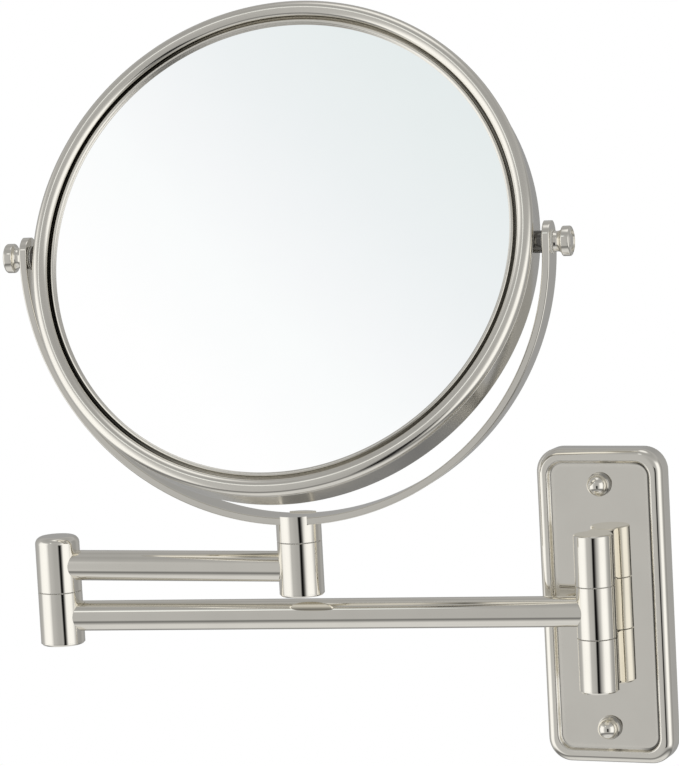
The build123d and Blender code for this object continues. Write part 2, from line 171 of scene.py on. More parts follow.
camera_data = bpy.data.cameras.new("camera")
camera_data.sensor_width = SENSOR_MM
camera_data.lens = FOCAL_POINTS * SENSOR_MM / LONG_SIDE_POINTS
camera_data.clip_end = 50
camera = bpy.data.objects.new("camera", camera_data)
camera.matrix_world = Matrix.Translation(CAMERA_AT) @ camera_axes
bpy.context.scene.collection.objects.link(camera)
bpy.context.scene.camera = camera
bpy.context.scene.view_settings.view_transform = "Standard"
print("lens", round(camera_data.lens, 1), "mm")

# %% [markdown]
# ## Shader maths written as sums
# A node tree is hard to read, and a formula isn't. `Wire` wraps an output socket and turns +, -, *
# and / into Math nodes, also with a plain number on the left. Every other node comes from
# `Shader.node`, which makes its settings first and then fills its sockets.

# %% A socket that can be used in a formula


class Wire:
    """An output socket that adds Math nodes when it is used in a sum."""

    def __init__(self, shader, socket):
        self.shader = shader
        self.socket = socket

    def math(self, operation, *values):
        return self.shader.node("ShaderNodeMath", {"operation": operation}, dict(enumerate(values)))

    def __add__(self, other):
        return self.math("ADD", self, other)

    __radd__ = __add__

    def __sub__(self, other):
        return self.math("SUBTRACT", self, other)

    def __rsub__(self, other):
        return self.math("SUBTRACT", other, self)

    def __mul__(self, other):
        return self.math("MULTIPLY", self, other)

    __rmul__ = __mul__

    def __truediv__(self, other):
        return self.math("DIVIDE", self, other)

    def out(self, name):
        """Another output of the same node."""
        return Wire(self.shader, self.socket.node.outputs[name])


# %% A node tree filled from Python


def light_of(level):
    """Light of a screen level from 0 to 255."""
    share = level / 255
    return share / 12.92 if share <= 0.04045 else ((share + 0.055) / 1.055) ** 2.4


def set_stops(ramp, stops):
    """Fill a colour ramp with (place, light) pairs, where light is a number or three."""
    while len(ramp.elements) > 1:
        ramp.elements.remove(ramp.elements[-1])
    for number, (place, light) in enumerate(stops):
        element = ramp.elements[0] if number == 0 else ramp.elements.new(place)
        element.position = place
        element.color = (*(light if isinstance(light, tuple) else (light, light, light)), 1.0)


class Shader:
    """A node tree that is filled from Python."""

    def __init__(self, tree, keep=False):
        self.tree = tree
        if not keep:
            tree.nodes.clear()

    def node(self, kind, settings=None, inputs=None, output=0):
        node = self.tree.nodes.new(kind)
        for name, value in (settings or {}).items():
            if name == "stops":
                set_stops(node.color_ramp, value)
            else:
                setattr(node, name, value)
        for key, value in (inputs or {}).items():
            if isinstance(value, Wire):
                self.tree.links.new(value.socket, node.inputs[key])
            else:
                node.inputs[key].default_value = value
        return Wire(self, node.outputs[output]) if len(node.outputs) else None

    def smoothstep(self, value, low, high):
        inputs = {"Value": value, "From Min": low, "From Max": high}
        return self.node("ShaderNodeMapRange", {"interpolation_type": "SMOOTHSTEP"}, inputs)

    def graph(self, value, points):
        """A curve of screen levels: points are (value, level), from the lowest value up."""
        low, high = points[0][0], points[-1][0]
        stops = [((at - low) / (high - low), light_of(level)) for at, level in points]
        return self.node("ShaderNodeValToRGB", {"stops": stops}, {"Fac": (value - low) / (high - low)})

    def mix(self, share, first, second):
        inputs = {"Factor": share, 6: first, 7: second}
        return self.node("ShaderNodeMix", {"data_type": "RGBA"}, inputs, 2)

    def noise(self, vector, scale, detail=2.0, roughness=0.5):
        inputs = {"Vector": vector, "Scale": scale, "Detail": detail, "Roughness": roughness}
        return self.node("ShaderNodeTexNoise", {"noise_dimensions": "3D"}, inputs)

    def here(self):
        """The piece's own coordinates, in metres."""
        return self.node("ShaderNodeTexCoord", {}, {}, "Object")

    def vector(self, operation, first, second=(0, 0, 0), output="Vector"):
        inputs = {0: first, 1: second if isinstance(second, Wire) else tuple(second)}
        return self.node("ShaderNodeVectorMath", {"operation": operation}, inputs, output)

    def parts(self, vector):
        """X of a vector, whose other outputs are Y and Z."""
        return self.node("ShaderNodeSeparateXYZ", {}, {0: vector})


def new_material(name):
    """A material with an empty node tree, and the shader that fills it."""
    material = bpy.data.materials.new(name)
    material.use_nodes = True
    return material, Shader(material.node_tree)


print("a screen level of 178 is", round(light_of(178), 3), "of full light")

# %% [markdown]
# ## The studio
# Polished metal shows its surroundings and hardly anything else, so the studio decides the looks.
# It could be a picture wrapped round the scene, or a few lamps. Here it is plain: a grey room with
# a white screen on each side and one overhead, a bright window for the mirror to look at, a narrow
# black card that draws the thin dark line down every barrel, and a pale floor.

# %% Levels of the room
SIDES = (  # degrees from straight ahead, to the right, and screen level
    (-180, 150), (-140, 158), (-110, 168), (-91, 180), (-76, 246), (-54, 253), (-38, 250), (-30, 228),
    (-22, 184), (-12, 180), (6, 168), (20, 166), (38, 178), (47, 218), (56, 248), (70, 253), (84, 248),
    (97, 186), (112, 152), (131, 147), (151, 166), (180, 150),
)
HEIGHTS = (  # degrees above level, and screen level
    (-90, 190), (-75, 210), (-62, 206), (-52, 165), (-42, 110), (-34, 140), (-25, 190), (0, 185), (25, 178),
    (45, 166), (60, 157), (72, 172), (79, 236), (90, 245),
)
WALLS_END, CEILING_START = 22.0, 38.0  # degrees above or below level
NICKEL_SHARE = 0.90  # of the light that falls on it
GLASS_SHARE = 0.96

# %% [markdown]
# The mirror looks up at one small part of the room. Mirroring the camera's line of sight in the
# glass says where that is, and a soft white window hangs there, a little greyer towards its top.

# %% Where the mirror looks
WINDOW_HALF, WINDOW_EDGE = 4.6, 0.9  # degrees: just what the mirror takes in
WINDOW_LEVELS = ((-2.6, (255, 255, 255)), (-0.9, (250, 252, 252)), (0.1, (245, 247, 248)),
                 (1.6, (237, 241, 242)), (3.2, (231, 237, 237)), (5.0, (226, 233, 234)))
WINDOW_LEAN = (0.55, 0.83)  # how far the greying runs to the right and up
sight = (tilt_at - CAMERA_AT).normalized()
gaze = sight - 2 * sight.dot(facing) * facing
gaze_turn = math.degrees(math.atan2(gaze.x, -gaze.y))
gaze_height = math.degrees(math.asin(gaze.z))
print("the mirror looks", round(gaze_turn, 1), "degrees to the right and", round(gaze_height, 1), "up")

# %% The room
world = bpy.data.worlds.new("room")
bpy.context.scene.world = world
world.use_nodes = True
room = Shader(world.node_tree)
ray = room.parts(room.node("ShaderNodeTexCoord"))
turn = ray.math("ARCTAN2", ray, ray.out("Y") * -1.0) * math.degrees(1)
height = ray.math("ARCSINE", ray.out("Z")) * math.degrees(1)
steepness = room.smoothstep(height.math("ABSOLUTE", height), WALLS_END, CEILING_START)
walls = room.mix(steepness, room.graph(turn, SIDES), room.graph(height, HEIGHTS))

right_of = (turn - gaze_turn) * math.cos(math.radians(gaze_height))
above = height - gaze_height
away = above.math("SQRT", right_of * right_of + above * above)
inside = 1 - room.smoothstep(away, WINDOW_HALF, WINDOW_HALF + WINDOW_EDGE)
lean = right_of * WINDOW_LEAN[0] + above * WINDOW_LEAN[1]
low, high = WINDOW_LEVELS[0][0], WINDOW_LEVELS[-1][0]
window_stops = [
    ((at - low) / (high - low), tuple(light_of(level) * NICKEL_SHARE / GLASS_SHARE for level in levels))
    for at, levels in WINDOW_LEVELS
]
window = room.node("ShaderNodeValToRGB", {"stops": window_stops}, {"Fac": (lean - low) / (high - low)})
room_light = room.mix(inside, walls, window)

seen = room.node("ShaderNodeLightPath")
around = room.node("ShaderNodeBackground", {}, {"Color": room_light, "Strength": 1 / NICKEL_SHARE})
backdrop = room.node("ShaderNodeBackground", {}, {"Color": (1, 1, 1, 1), "Strength": 1.0})
shown = room.node("ShaderNodeMixShader", {}, {0: seen, 1: around, 2: backdrop})
room.node("ShaderNodeOutputWorld", {}, {0: shown})
print("the room has", len(world.node_tree.nodes), "nodes")

# %% [markdown]
# ## Floor and card
# The floor lies well under the mirror, and only the camera and soft light see it. The card stands
# in front on the right and is seen only by the metal, so it can stand in the camera's way.

# %% Objects from points, and flat panels
SQUARE = ((-1, -1), (1, -1), (1, 1), (-1, 1))


def scene_object(name, mesh):
    made = bpy.data.objects.new(name, mesh)
    bpy.context.scene.collection.objects.link(made)
    return made


def shaped_object(name, points, faces=()):
    mesh = bpy.data.meshes.new(name)
    mesh.from_pydata([tuple(point) for point in points], [], faces)
    return scene_object(name, mesh)


def flat_panel(name, corners):
    panel = shaped_object(name, corners, [tuple(range(len(corners)))])
    return panel


def paper(name, colour, glow):
    """Matt paper that is a little brighter than the light on it."""
    material, shader = new_material(name)
    surface = shader.node("ShaderNodeBsdfPrincipled", {}, {
        "Base Color": colour, "Roughness": 0.9, "Emission Color": colour, "Emission Strength": glow,
    })
    shader.node("ShaderNodeOutputMaterial", {}, {0: surface})
    return material


# %% Floor
FLOOR_DROP = 280 * MM
FLOOR_HALF = 900 * MM
FLOOR_FORWARD = 300 * MM
floor_z = cad_box[0][2] - FLOOR_DROP
floor = flat_panel("floor", [(x * FLOOR_HALF, y * FLOOR_HALF - FLOOR_FORWARD, floor_z) for x, y in SQUARE])
floor.data.materials.append(paper("floor_paper", (0.9, 0.9, 0.89, 1), 0.3))
floor.visible_glossy = False

# %% Card
CARD_AT = Vector((183, -531, -110)) * MM
CARD_HALF_WIDTH = 165 * MM
CARD_HALF_HEIGHT = 190 * MM
CARD_DARK_FROM, CARD_DARK_TO = 0.15, 0.45  # shares of the half width, and outside them the edges fade
towards = Vector((CARD_AT.x - post_at.x, CARD_AT.y - post_at.y, 0)).normalized()
card_side = towards.cross(UP)
card_corners = [CARD_AT + card_side * x * CARD_HALF_WIDTH + UP * z * CARD_HALF_HEIGHT for x, z in SQUARE]
card = flat_panel("card", card_corners)
card.visible_camera = False
card.visible_diffuse = False
card.visible_shadow = False
card_ink, ink = new_material("card_ink")
card_place = ink.parts(ink.here())
print("the card stands", round((CARD_AT - post_at).length / MM), "mm from the post")
across = (card_place - CARD_AT.x) * card_side.x + (card_place.out("Y") - CARD_AT.y) * card_side.y
soft_left = ink.smoothstep(across, -CARD_HALF_WIDTH, CARD_DARK_FROM * CARD_HALF_WIDTH)
soft_right = 1 - ink.smoothstep(across, CARD_DARK_TO * CARD_HALF_WIDTH, CARD_HALF_WIDTH)
clear = ink.node("ShaderNodeBsdfTransparent")
dark = ink.node("ShaderNodeEmission", {}, {"Color": (0.004, 0.004, 0.004, 1)})
ink.node("ShaderNodeOutputMaterial", {}, {
    0: ink.node("ShaderNodeMixShader", {}, {0: soft_left * soft_right, 1: clear, 2: dark}),
})
card.data.materials.append(card_ink)

# %% [markdown]
# ## Finishes
# Polished nickel is a warm, slightly yellow mirror. It is never quite even: a cloth leaves faint
# cloudy marks, so its colour and roughness wander a little, read from the piece's own coordinates.
# Steel straight from the lathe also has hairlines, a very slight bump. On polished metal a bump
# would only look like grains, so there it stays flat. The two pivot bosses are much darker than the
# nickel they are made of. That is painted shade, chosen so that the gap beside the yoke looks dark.

# %% A metal with its polishing marks
CLOUD_SCALE = 60.0
HAIR_SCALE = 900.0
HAIR_DEPTH = 0.1 * MM


def metal(name, colour, polish, haze, hairs=0.0, tint=0.03):
    """A metal: polish is its least roughness, haze what the marks add, and hairs the bump's strength."""
    material, shader = new_material(name)
    place = shader.here()
    clouds = shader.noise(place, CLOUD_SCALE, 4.0)
    marks = shader.smoothstep(clouds, 0.35, 0.75)
    darker = tuple(channel * (1 - tint) for channel in colour[:3]) + (1,)
    painted = shader.mix(marks, colour, darker)
    look = {"Base Color": painted, "Metallic": 1.0, "Roughness": marks * haze + polish}
    if hairs:
        relief = {"Strength": hairs, "Distance": HAIR_DEPTH, "Height": shader.noise(place, HAIR_SCALE, 2.0)}
        look["Normal"] = shader.node("ShaderNodeBump", {}, relief)
    surface = shader.node("ShaderNodeBsdfPrincipled", {}, look)
    shader.node("ShaderNodeOutputMaterial", {}, {0: surface})
    return material


def moulded(name, colour, roughness, grain_scale, grain_depth):
    """A plastic, rubber or foam with a fine grain."""
    material, shader = new_material(name)
    place = shader.here()
    grain = shader.noise(place, grain_scale, 3.0)
    wear = shader.noise(place, 40.0, 2.0)
    paler = tuple(min(1, channel * 1.15 + 0.01) for channel in colour[:3]) + (1,)
    relief = shader.node("ShaderNodeBump", {}, {"Strength": 0.4, "Distance": grain_depth, "Height": grain})
    surface = shader.node("ShaderNodeBsdfPrincipled", {}, {
        "Base Color": shader.mix(wear, colour, paler),
        "Roughness": grain * 0.15 + roughness,
        "Normal": relief,
    })
    shader.node("ShaderNodeOutputMaterial", {}, {0: surface})
    return material


# %% The finishes
NICKEL = (NICKEL_SHARE, 0.870, 0.797, 1)
SILVER = (GLASS_SHARE, GLASS_SHARE, GLASS_SHARE, 1)
MIRROR_BRIGHT = (0.025, 0.02)  # polish and haze
finishes = {
    "nickel": metal("polished_nickel", NICKEL, *MIRROR_BRIGHT),
    "band": metal("satin_nickel", (0.82, 0.80, 0.75, 1), 0.16, 0.05),
    # The bosses' dark colour is painted shade, not the colour of the nickel.
    "boss": metal("painted_shade_nickel", (0.15, 0.145, 0.135, 1), 0.12, 0.05),
    "steel": metal("turned_steel", (0.72, 0.71, 0.69, 1), 0.14, 0.08, 0.08),
    "nylon": moulded("white_nylon", (0.82, 0.81, 0.77, 1), 0.42, 700.0, 0.00002),
    "backing": moulded("black_backing", (0.03, 0.03, 0.032, 1), 0.55, 500.0, 0.00005),
    "foam": moulded("grey_foam", (0.35, 0.35, 0.36, 1), 0.85, 1200.0, 0.0002),
    "looking_glass": metal("silvered_glass", SILVER, 0.0, 0.01, tint=0.004),
}
print("finishes:", ", ".join(finishes))
print("slots in the record:", sorted(set(slot_of_node.values())))

# %% [markdown]
# ## Smooth copies of the CAD pieces
# The CAD gives loose flat triangles, and a mirror finish would show every one of them. A copy with
# its doubles merged, hard edges kept hard, and its other normals weighted by the size of the faces
# reflects like the real curved metal, and its shape stays the CAD's own.

# %% Copying a node
HARD_EDGE = math.radians(32)
JOIN_DISTANCE = 0.002 * MM


def link_piece(name, mesh, node, finish):
    """Put a finished mesh in the scene as the piece that stands for a CAD node."""
    piece = scene_object(name, mesh)
    mesh.materials.clear()
    mesh.materials.append(finish)
    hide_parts(node)
    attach(piece, body_of_node[node])
    return piece


def plain_mesh(piece):
    """The evaluated mesh of a piece, with its modifiers made plain, and the piece taken away."""
    graph = bpy.context.evaluated_depsgraph_get()
    mesh = bpy.data.meshes.new_from_object(piece.evaluated_get(graph), depsgraph=graph)
    bpy.data.objects.remove(piece)
    return mesh


def face_outwards(mesh):
    """Turn the faces of a closed mesh outwards."""
    shape = bmesh.new()
    shape.from_mesh(mesh)
    bmesh.ops.recalc_face_normals(shape, faces=shape.faces)
    shape.to_mesh(mesh)
    shape.free()


def softened(name, source, drill=None):
    """A merged copy of a mesh with weighted normals, after drilling if a drill is given."""
    mesh = source.copy()
    if drill:
        work = scene_object(name + "_work", mesh)
        work.modifiers.new("hole", "BOOLEAN").object = drill
        mesh = plain_mesh(work)
    mesh.name = name + "_skin"
    shape = bmesh.new()
    shape.from_mesh(mesh)
    bmesh.ops.remove_doubles(shape, verts=shape.verts, dist=JOIN_DISTANCE)
    for face in shape.faces:
        face.smooth = True
    for edge in shape.edges:
        edge.smooth = edge.is_manifold and edge.calc_face_angle(0) < HARD_EDGE
    shape.to_mesh(mesh)
    shape.free()
    piece = scene_object(name + "_work", mesh)
    weighting = piece.modifiers.new("weighting", "WEIGHTED_NORMAL")
    weighting.keep_sharp = True
    return plain_mesh(piece)


# %% [markdown]
# ## Turned pieces
# The rings, the band, the knobs and the domed nuts are bodies of revolution, so each is one
# outline swung round an axis. A Screw modifier would do it, but a Geometry Nodes tree names its
# inputs and can also repeat the piece along a line: a grid is bent so that its rows follow the
# outline and its columns go round the axis.

# %% Outlines: arcs and rounded corners
ARC_STEP = math.radians(7)
FLAT_HOLD = 1.12  # how far from a corner its outermost points lie, over where its rounding starts


def arc(centre, radius, start, end):
    """Points of an arc (radius out, height), by angles in degrees from outwards towards the front."""
    turns = max(2, math.ceil(abs(math.radians(end - start)) / ARC_STEP))
    out, height = centre
    angles = [math.radians(start + (end - start) * step / turns) for step in range(turns + 1)]
    return [(out + radius * math.cos(angle), height + radius * math.sin(angle)) for angle in angles]


def corner(before, at, after, radius):
    """The points of a rounded corner, with a close point on each side that keeps the flats flat."""
    here = Vector(at)
    back = (Vector(before) - here).normalized()
    ahead = (Vector(after) - here).normalized()
    half = back.angle(ahead) / 2
    reach = radius / math.tan(half)
    middle = here + (back + ahead).normalized() * radius / math.sin(half)
    first, last = here + back * reach, here + ahead * reach
    sweep = (first - middle).angle(last - middle)
    steps = max(2, math.ceil(sweep / (2 * ARC_STEP)))
    points = [here + back * reach * FLAT_HOLD]
    for step in range(steps + 1):
        share = step / steps
        way = (first - middle) * math.sin((1 - share) * sweep) + (last - middle) * math.sin(share * sweep)
        points.append(middle + way / math.sin(sweep))
    points.append(here + ahead * reach * FLAT_HOLD)
    return [tuple(point) for point in points]


def rounded(corners):
    """A closed outline from (radius, height, rounding) corners."""
    points = []
    for number, (radius, height, rounding) in enumerate(corners):
        before = corners[number - 1][:2]
        after = corners[(number + 1) % len(corners)][:2]
        if rounding:
            points += corner(before, (radius, height), after, rounding)
        else:
            points.append((radius, height))
    return points


print("a half circle has", len(arc((0, 0), 1, 0, 180)), "points")

# %% The tree that turns an outline
SEAM_DISTANCE = 2e-6


class Tree:
    """A Geometry Nodes tree filled from Python."""

    def __init__(self, name, inputs):
        self.tree = bpy.data.node_groups.new(name, "GeometryNodeTree")
        face = self.tree.interface
        face.new_socket("Geometry", in_out="INPUT", socket_type="NodeSocketGeometry")
        self.ids = {}
        for label, kind in inputs:
            self.ids[label] = face.new_socket(label, in_out="INPUT", socket_type=kind).identifier
        face.new_socket("Geometry", in_out="OUTPUT", socket_type="NodeSocketGeometry")
        self.source = self.tree.nodes.new("NodeGroupInput")

    def given(self, label):
        return self.source.outputs[label]

    def node(self, kind, settings=None, inputs=None, output=0):
        node = self.tree.nodes.new(kind)
        for name, value in (settings or {}).items():
            setattr(node, name, value)
        for key, value in (inputs or {}).items():
            if isinstance(value, bpy.types.NodeSocket):
                self.tree.links.new(value, node.inputs[key])
            else:
                node.inputs[key].default_value = value
        return node.outputs[output] if len(node.outputs) else None

    def math(self, operation, *values):
        return self.node("ShaderNodeMath", {"operation": operation}, dict(enumerate(values)))

    def parts(self, vector):
        """The outputs X, Y and Z of a vector."""
        return self.node("ShaderNodeSeparateXYZ", {}, {0: vector}).node.outputs

    def count(self, mesh):
        return self.node("GeometryNodeAttributeDomainSize", {"component": "MESH"}, {0: mesh}, "Point Count")

    def sample(self, source, value, index):
        """A vector read from another geometry's point."""
        settings = {"data_type": "FLOAT_VECTOR", "domain": "POINT"}
        inputs = {"Geometry": source, "Value": value, "Index": index}
        return self.node("GeometryNodeSampleIndex", settings, inputs)

    def row_and_column(self, columns):
        """Where a point of a grid is, from its index."""
        index = self.node("GeometryNodeInputIndex")
        row = self.math("FLOOR", self.math("DIVIDE", self.math("ADD", index, 0.5), columns))
        return row, self.math("SUBTRACT", index, self.math("MULTIPLY", row, columns))

    def skin(self, grid, place):
        """The grid with its points at place, seams closed and shaded smooth."""
        bent = self.node("GeometryNodeSetPosition", {}, {"Geometry": grid, "Position": place})
        closed = self.node("GeometryNodeMergeByDistance", {}, {"Geometry": bent, "Distance": SEAM_DISTANCE})
        return self.node("GeometryNodeSetShadeSmooth", {}, {"Geometry": closed})

    def finish(self, geometry):
        """Make instances real, give them the material, and end the tree."""
        real = self.node("GeometryNodeRealizeInstances", {}, {"Geometry": geometry})
        material = self.given("Finish")
        painted = self.node("GeometryNodeSetMaterial", {}, {"Geometry": real, "Material": material})
        self.node("NodeGroupOutput", {}, {0: painted})


def turning_tree():
    """A tree whose input mesh is an outline (x out, z along the axis), point after point."""
    tree = Tree("turned", (
        ("Around", "NodeSocketInt"), ("Count", "NodeSocketInt"), ("Spacing", "NodeSocketVector"),
        ("Finish", "NodeSocketMaterial"),
    ))
    outline, around = tree.given("Geometry"), tree.given("Around")
    columns = tree.math("ADD", around, 1.0)
    grid = tree.node("GeometryNodeMeshGrid", {}, {"Vertices X": tree.count(outline), "Vertices Y": columns})
    row, column = tree.row_and_column(columns)
    parts = tree.parts(tree.sample(outline, tree.node("GeometryNodeInputPosition"), row))
    angle = tree.math("MULTIPLY", tree.math("DIVIDE", column, around), 2 * math.pi)
    swung = tree.node("ShaderNodeCombineXYZ", {}, {
        "X": tree.math("MULTIPLY", parts["X"], tree.math("COSINE", angle)),
        "Y": tree.math("MULTIPLY", parts["X"], tree.math("SINE", angle)),
        "Z": parts["Z"],
    })
    spread = {"Count": tree.given("Count"), "Offset": tree.given("Spacing")}
    line = tree.node("GeometryNodeMeshLine", {}, spread)
    skin = tree.skin(grid, swung)
    tree.finish(tree.node("GeometryNodeInstanceOnPoints", {}, {"Points": line, "Instance": skin}))
    return tree


turning = turning_tree()
print("the turning tree has", len(turning.tree.nodes), "nodes")


# %% Turning a piece
def turned(node, outline, place, finish, around=256, count=1, spacing=(0, 0, 0)):
    """The plain mesh of a turned piece, put in its place, as the piece that stands for a node."""
    closed = list(outline) + [outline[0]]
    work = shaped_object(node + "_outline", [(radius * MM, 0, height * MM) for radius, height in closed])
    modifier = work.modifiers.new("turning", "NODES")
    modifier.node_group = turning.tree
    modifier[turning.ids["Around"]] = around
    modifier[turning.ids["Count"]] = count
    modifier[turning.ids["Spacing"]] = spacing
    modifier[turning.ids["Finish"]] = finish
    skin = plain_mesh(work)
    skin.transform(place)
    face_outwards(skin)
    piece = link_piece(node + "_skin", skin, node, finish)
    print(piece.name, len(skin.polygons), "faces")
    return piece


# %% [markdown]
# ## Painted shade in grooves and corners
# A narrow groove in polished metal looks dark where it reflects its own walls or something dark,
# and this plain studio doesn't make it dark enough. So a share from 0 to 1, worked out from the
# piece's own coordinates, darkens the metal there as painted shade. How strong it is on each side
# was chosen, and it stays on that side of the piece when the piece turns. The rings are not mirror bright.

# %% Painting shade onto a metal
# The colour of the painted shade.
PAINTED_SHADE_COLOUR = (0.03, 0.028, 0.024, 1)


def rewired(shader, name, change):
    """Pass a metal's colour or roughness through a formula."""
    surface = next(node for node in shader.tree.nodes if node.type == "BSDF_PRINCIPLED")
    old = Wire(shader, surface.inputs[name].links[0].from_socket)
    shader.tree.links.new(change(old).socket, surface.inputs[name])


def paint_shade(material, share_of):
    """Paint shade onto a metal where share_of(shader, place) says, from 0 to 1."""
    shader = Shader(material.node_tree, keep=True)
    share = share_of(shader, shader.here())
    rewired(shader, "Base Color", lambda old: shader.mix(share, old, PAINTED_SHADE_COLOUR))
    return material


# %% Ring finish, with painted shade in its groove
ring_low, ring_high, ring_back, ring_front = [value / MM for value in gauge("front_ring", drum)]
FRONT_TO_GLASS = 3.95
seat = ring_front - FRONT_TO_GLASS
BEAD, BEAD_SPREAD = 3.0, 1.17
LIP, LIP_INSET, LIP_LIFT = 0.9, 1.1, 0.05
bead_at = (ring_high - BEAD * BEAD_SPREAD, ring_front - BEAD)
lip_at = (ring_low + LIP_INSET + LIP, seat + LIP_LIFT + LIP)
groove_middle = (lip_at[0] + LIP + bead_at[0] - BEAD * BEAD_SPREAD) / 2
GROOVE_HALF, GROOVE_TOP, GROOVE_FLOOR = 0.95, ring_front - 1.6, seat - 1.2


def groove_shade_share(shader, place):
    """Painted shade in the ring's groove, most of all at its sides."""
    arm = shader.vector("SUBTRACT", place, tilt_at)
    depth = shader.vector("DOT_PRODUCT", arm, facing, "Value")
    side = shader.vector("DOT_PRODUCT", arm, tilt_axis, "Value")
    radius = shader.vector("LENGTH", shader.vector("CROSS_PRODUCT", arm, facing), output="Value")
    off = radius.math("ABSOLUTE", radius - groove_middle * MM)
    inside = 1 - shader.smoothstep(off, GROOVE_HALF * 0.4 * MM, GROOVE_HALF * MM)
    sunk = 1 - shader.smoothstep(depth, (GROOVE_TOP - 1.0) * MM, GROOVE_TOP * MM)
    left = shader.smoothstep(side / radius * -1.0, 0.2, 0.7)
    right = shader.smoothstep(side / radius, 0.3, 0.85)
    return inside * sunk * (left * 0.7 + right * 0.42 + 0.22)


finishes["ring"] = paint_shade(metal("buffed_nickel", NICKEL, 0.10, 0.05), groove_shade_share)
print("the groove is at", round(groove_middle - ring_low, 2), "mm from the inner edge")

# %% [markdown]
# ## The drum
# Two rings and a band make the drum. The front ring has the thick outer bead and the thin lip that
# holds the glass, with the groove between them, and the rear ring is its smaller sister.

# %% Rings and band
skirt_out = gauge("mirror_band", drum)[0] / MM - 0.02
GROOVE_BEVEL, GLASS_EDGE, SKIRT = 0.3, 2.62, 1.5
round_bead = arc((0, bead_at[1]), BEAD, -80, 200)
bead = [(bead_at[0] + out * BEAD_SPREAD, height) for out, height in round_bead]
groove = [(groove_middle + off, GROOVE_FLOOR + abs(off)) for off in (GROOVE_BEVEL, 0, -GROOVE_BEVEL)]
inner_wall = [(ring_low + GLASS_EDGE, seat + 0.03), (ring_low + GLASS_EDGE, seat - SKIRT)]
skirt = [(skirt_out - SKIRT, seat - SKIRT), (skirt_out - SKIRT + 0.1, ring_back), (skirt_out, ring_back)]
front_outline = bead + groove + arc(lip_at, LIP, -20, 235) + inner_wall + skirt
turned("front_ring", front_outline, drum, finishes["ring"])

band_in, band_out, band_back, band_front = [value / MM for value in gauge("mirror_band", drum)]
band_outline = rounded([
    (band_in, band_front, 0), (band_in, band_back, 0),
    (band_out, band_back, 1.1), (band_out, band_front, 0.2),
])
turned("mirror_band", band_outline, drum, finishes["band"])

# %% [markdown]
# ## The yoke
# The yoke is a flat strip bent into a half hoop with short straight legs and round ends. Bending
# a bar mesh would stretch it, so a second tree sweeps a rounded section along stations: each
# station says where the strip's middle is, which way is outwards, and how wide the strip is there.

# %% Measuring the strip
across_yoke = UP.cross(tilt_axis).normalized()
strip_points = [vertex.co - tilt_at for vertex in frame["nodes"]["yoke_strip"].data.vertices]
strip_out = max(point.dot(tilt_axis) for point in strip_points)
strip_in = min(abs(point.dot(tilt_axis)) for point in strip_points if point.z > 0)
strip_tip = max(point.z for point in strip_points)
strip_drop = -min(point.z for point in strip_points) - strip_out
strip_half = max(point.dot(across_yoke) for point in strip_points)
strip_sizes = (strip_in, strip_out, strip_tip, strip_drop, strip_half)
print("strip:", [round(value / MM, 2) for value in strip_sizes])

# %% Stations along the strip
END_STEPS, ARC_STEPS = 24, 240
middle_radius = (strip_in + strip_out) / 2
straight = strip_tip - strip_half


def strip_stations():
    """(angle, height above the arc's ends, share of the width), from the left tip to the right tip."""
    turns = [math.radians(90 * step / END_STEPS) for step in range(END_STEPS, 0, -1)] + [0.0]
    left = [(math.pi, straight + strip_half * math.sin(turn), math.cos(turn)) for turn in turns]
    left[0] = (math.pi, straight + strip_half, 0.0)
    bow = [(math.pi * (1 + step / ARC_STEPS), -strip_drop, 1.0) for step in range(ARC_STEPS + 1)]
    right = [(2 * math.pi, height, width) for angle, height, width in reversed(left)]
    return left + bow + right


# %% The tree that sweeps a section
def sweeping_tree():
    """A tree whose input mesh is a row of stations, and whose Outline is the section that they carry."""
    tree = Tree("swept", (("Outline", "NodeSocketObject"), ("Finish", "NodeSocketMaterial")))
    stations = tree.given("Geometry")
    outline = tree.node("GeometryNodeObjectInfo", {}, {"Object": tree.given("Outline")}, "Geometry")
    columns = tree.count(stations)
    grid = tree.node("GeometryNodeMeshGrid", {}, {"Vertices X": tree.count(outline), "Vertices Y": columns})
    row, column = tree.row_and_column(columns)
    here = tree.node("GeometryNodeInputPosition")
    section = tree.parts(tree.sample(outline, here, row))
    place = tree.sample(stations, here, column)
    for name, part in (("outward", "X"), ("across", "Y")):
        kind = {"data_type": "FLOAT_VECTOR"}
        direction = tree.node("GeometryNodeInputNamedAttribute", kind, {"Name": name})
        way = tree.sample(stations, direction, column)
        scaled = tree.node("ShaderNodeVectorMath", {"operation": "SCALE"}, {0: way, "Scale": section[part]})
        place = tree.node("ShaderNodeVectorMath", {"operation": "ADD"}, {0: place, 1: scaled})
    tree.finish(tree.skin(grid, place))
    return tree


sweeping = sweeping_tree()
print("the sweeping tree has", len(sweeping.tree.nodes), "nodes")


# %% The swept strip
STRIP_ROUNDING = 0.6
half_thick, half_wide = (strip_out - strip_in) / 2 / MM, strip_half / MM
section = rounded([(x * half_thick, y * half_wide, STRIP_ROUNDING) for x, y in SQUARE])
section_work = shaped_object("strip_section", [(x * MM, y * MM, 0) for x, y in section + section[:1]])
places, outwards, widths = [], [], []
for angle, rise, width in strip_stations():
    out = math.cos(angle) * tilt_axis + math.sin(angle) * UP
    places.append(tilt_at + middle_radius * out + UP * rise)
    outwards.append(out)
    widths.append(across_yoke * width)
strip_work = shaped_object("strip_stations", places)
for name, vectors in (("outward", outwards), ("across", widths)):
    attribute = strip_work.data.attributes.new(name, "FLOAT_VECTOR", "POINT")
    attribute.data.foreach_set("vector", [value for vector in vectors for value in vector])
sweep = strip_work.modifiers.new("sweeping", "NODES")
sweep.node_group = sweeping.tree
sweep[sweeping.ids["Outline"]] = section_work
sweep[sweeping.ids["Finish"]] = finishes["nickel"]

